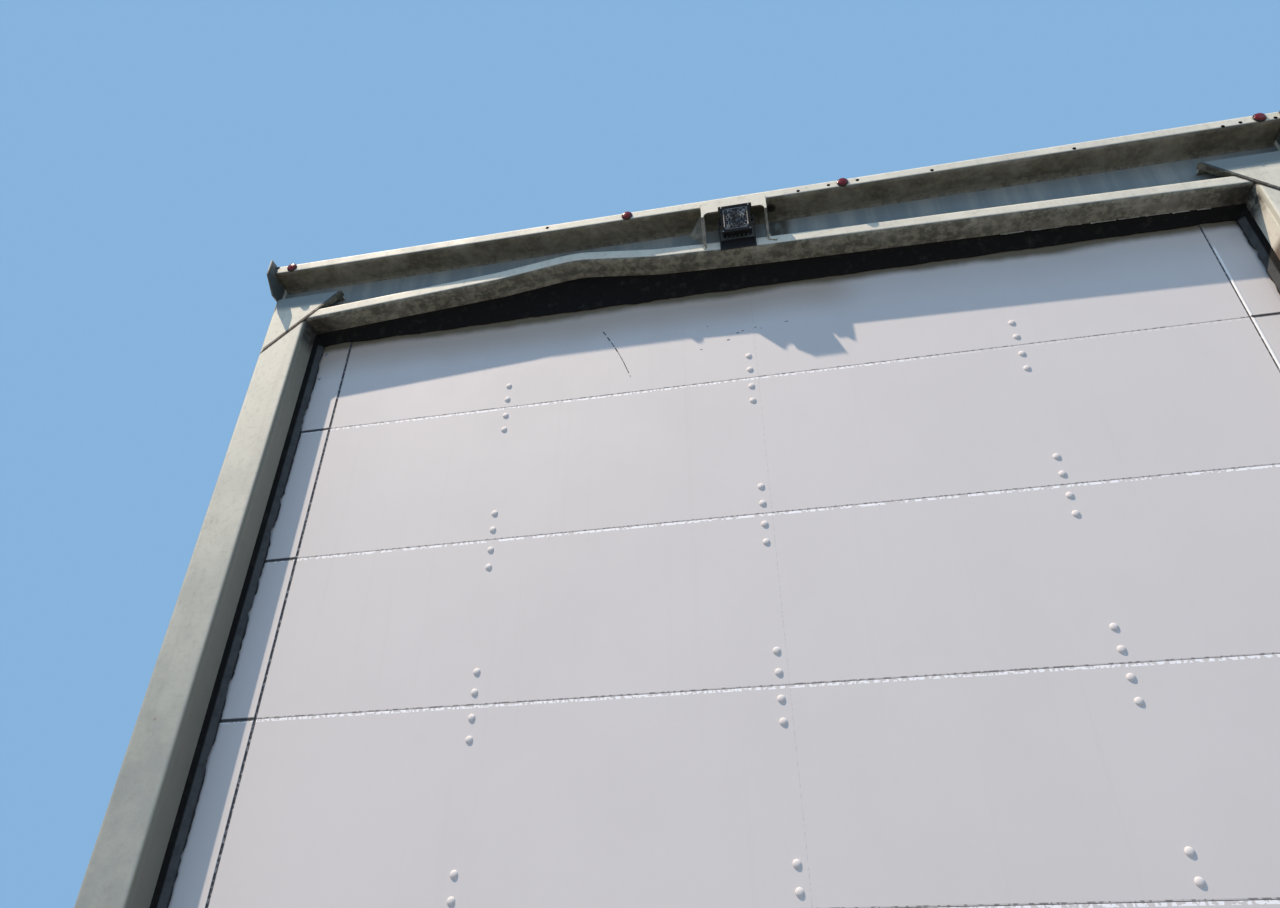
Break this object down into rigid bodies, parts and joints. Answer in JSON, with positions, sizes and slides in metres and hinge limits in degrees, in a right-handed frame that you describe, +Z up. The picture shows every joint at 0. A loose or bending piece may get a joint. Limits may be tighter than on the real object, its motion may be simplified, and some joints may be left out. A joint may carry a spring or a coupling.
{
  "type": "box truck rear door frame",
  "caption": "Formed steel rear frame of a box truck body with a closed sectional roll-up door, its tracks, rollers, counterbalance, latch, marker lamps and guarded work lamp.",
  "frame": {"origin": "middle of the sill's underside, in the plane of the door's outer face", "axes": "+X to the right as seen from behind the truck, +Y forward into the body, +Z up"},
  "size_m": [2.438, 2.2036, 2.346],
  "materials": {
    "frame_steel": "weathered grey-beige paint over galvanised steel, rust at the edges",
    "door_skin": "white painted laminate over plywood",
    "zinc_steel": "dull zinc plate",
    "cable_steel": "stranded galvanised wire",
    "spring_steel": "black oiled spring wire",
    "cast_alloy": "as-cast",
    "roller_nylon": "worn nylon",
    "seal_rubber": "perished black rubber",
    "red_lens": "moulded red lens",
    "lamp_housing": "black powder coat",
    "clear_lens": "clear lens",
    "black_steel": "black paint",
    "latch_steel": "zinc plate, rubbed at the hook"
  },
  "bodies": {
    "frame_and_door": {"sill": "frame_steel", "post_left": "frame_steel", "post_right": "frame_steel", "header_rail": "frame_steel", "header_ledge": "frame_steel", "corner_gusset_left": "frame_steel", "corner_gusset_right": "frame_steel", "header_ends": "frame_steel", "lamp_guard": "frame_steel", "middle_hinges": "zinc_steel", "end_hinges_left": "zinc_steel", "end_hinges_right": "zinc_steel", "top_brackets": "zinc_steel", "bottom_brackets": "zinc_steel", "roller_stems": "zinc_steel", "track_left": "zinc_steel", "track_right": "zinc_steel", "track_clips": "zinc_steel", "track_hangers": "zinc_steel", "counterbalance_shaft": "zinc_steel", "bearing_plates": "zinc_steel", "lift_cables": "cable_steel", "torsion_springs": "spring_steel", "spring_cones": "cast_alloy", "cable_drums": "cast_alloy", "side_seals": "seal_rubber", "top_seal": "seal_rubber", "bottom_seal": "seal_rubber", "marker_lamps": "red_lens", "lamp_yoke": "black_steel", "latch_plate": "latch_steel", "latch_keeper": "latch_steel", "door_panel_1": "door_skin", "door_panel_2": "door_skin", "door_panel_3": "door_skin", "door_panel_4": "door_skin", "door_panel_5": "door_skin", "door_panel_6": "door_skin"},
    "track_roller_left_1": {"track_roller_left_1": "roller_nylon"},
    "track_roller_left_2": {"track_roller_left_2": "roller_nylon"},
    "track_roller_left_3": {"track_roller_left_3": "roller_nylon"},
    "track_roller_left_4": {"track_roller_left_4": "roller_nylon"},
    "track_roller_left_5": {"track_roller_left_5": "roller_nylon"},
    "track_roller_left_6": {"track_roller_left_6": "roller_nylon"},
    "track_roller_left_7": {"track_roller_left_7": "roller_nylon"},
    "track_roller_right_1": {"track_roller_right_1": "roller_nylon"},
    "track_roller_right_2": {"track_roller_right_2": "roller_nylon"},
    "track_roller_right_3": {"track_roller_right_3": "roller_nylon"},
    "track_roller_right_4": {"track_roller_right_4": "roller_nylon"},
    "track_roller_right_5": {"track_roller_right_5": "roller_nylon"},
    "track_roller_right_6": {"track_roller_right_6": "roller_nylon"},
    "track_roller_right_7": {"track_roller_right_7": "roller_nylon"},
    "latch_lever": {"latch_lever": "latch_steel"},
    "work_lamp": {"work_lamp": "lamp_housing", "work_lamp_lens": "clear_lens"}
  },
  "joints": [
    {"name": "track_roller_left_1_spin", "type": "hinge", "parent": "frame_and_door", "child": "track_roller_left_1", "pos_m": [-1.138, 0.08286, 2.178], "axis": [1, 0, 0], "continuous": true},
    {"name": "track_roller_left_2_spin", "type": "hinge", "parent": "frame_and_door", "child": "track_roller_left_2", "pos_m": [-1.138, 0.033, 1.867], "axis": [1, 0, 0], "continuous": true},
    {"name": "track_roller_left_3_spin", "type": "hinge", "parent": "frame_and_door", "child": "track_roller_left_3", "pos_m": [-1.138, 0.033, 1.516], "axis": [1, 0, 0], "continuous": true},
    {"name": "track_roller_left_4_spin", "type": "hinge", "parent": "frame_and_door", "child": "track_roller_left_4", "pos_m": [-1.138, 0.033, 1.165], "axis": [1, 0, 0], "continuous": true},
    {"name": "track_roller_left_5_spin", "type": "hinge", "parent": "frame_and_door", "child": "track_roller_left_5", "pos_m": [-1.138, 0.033, 0.814], "axis": [1, 0, 0], "continuous": true},
    {"name": "track_roller_left_6_spin", "type": "hinge", "parent": "frame_and_door", "child": "track_roller_left_6", "pos_m": [-1.138, 0.033, 0.463], "axis": [1, 0, 0], "continuous": true},
    {"name": "track_roller_left_7_spin", "type": "hinge", "parent": "frame_and_door", "child": "track_roller_left_7", "pos_m": [-1.138, 0.033, 0.157], "axis": [1, 0, 0], "continuous": true},
    {"name": "track_roller_right_1_spin", "type": "hinge", "parent": "frame_and_door", "child": "track_roller_right_1", "pos_m": [1.138, 0.08286, 2.178], "axis": [1, 0, 0], "continuous": true},
    {"name": "track_roller_right_2_spin", "type": "hinge", "parent": "frame_and_door", "child": "track_roller_right_2", "pos_m": [1.138, 0.033, 1.867], "axis": [1, 0, 0], "continuous": true},
    {"name": "track_roller_right_3_spin", "type": "hinge", "parent": "frame_and_door", "child": "track_roller_right_3", "pos_m": [1.138, 0.033, 1.516], "axis": [1, 0, 0], "continuous": true},
    {"name": "track_roller_right_4_spin", "type": "hinge", "parent": "frame_and_door", "child": "track_roller_right_4", "pos_m": [1.138, 0.033, 1.165], "axis": [1, 0, 0], "continuous": true},
    {"name": "track_roller_right_5_spin", "type": "hinge", "parent": "frame_and_door", "child": "track_roller_right_5", "pos_m": [1.138, 0.033, 0.814], "axis": [1, 0, 0], "continuous": true},
    {"name": "track_roller_right_6_spin", "type": "hinge", "parent": "frame_and_door", "child": "track_roller_right_6", "pos_m": [1.138, 0.033, 0.463], "axis": [1, 0, 0], "continuous": true},
    {"name": "track_roller_right_7_spin", "type": "hinge", "parent": "frame_and_door", "child": "track_roller_right_7", "pos_m": [1.138, 0.033, 0.157], "axis": [1, 0, 0], "continuous": true},
    {"name": "latch_lever_swing", "type": "hinge", "parent": "frame_and_door", "child": "latch_lever", "pos_m": [0, -0.0123, 0.232], "axis": [0, -1, 0], "range_deg": [0, 60]},
    {"name": "work_lamp_tilt", "type": "hinge", "parent": "frame_and_door", "child": "work_lamp", "pos_m": [0.003, -0.106, 2.266], "axis": [1, 0, 0], "range_deg": [-14, 20]}
  ]
}
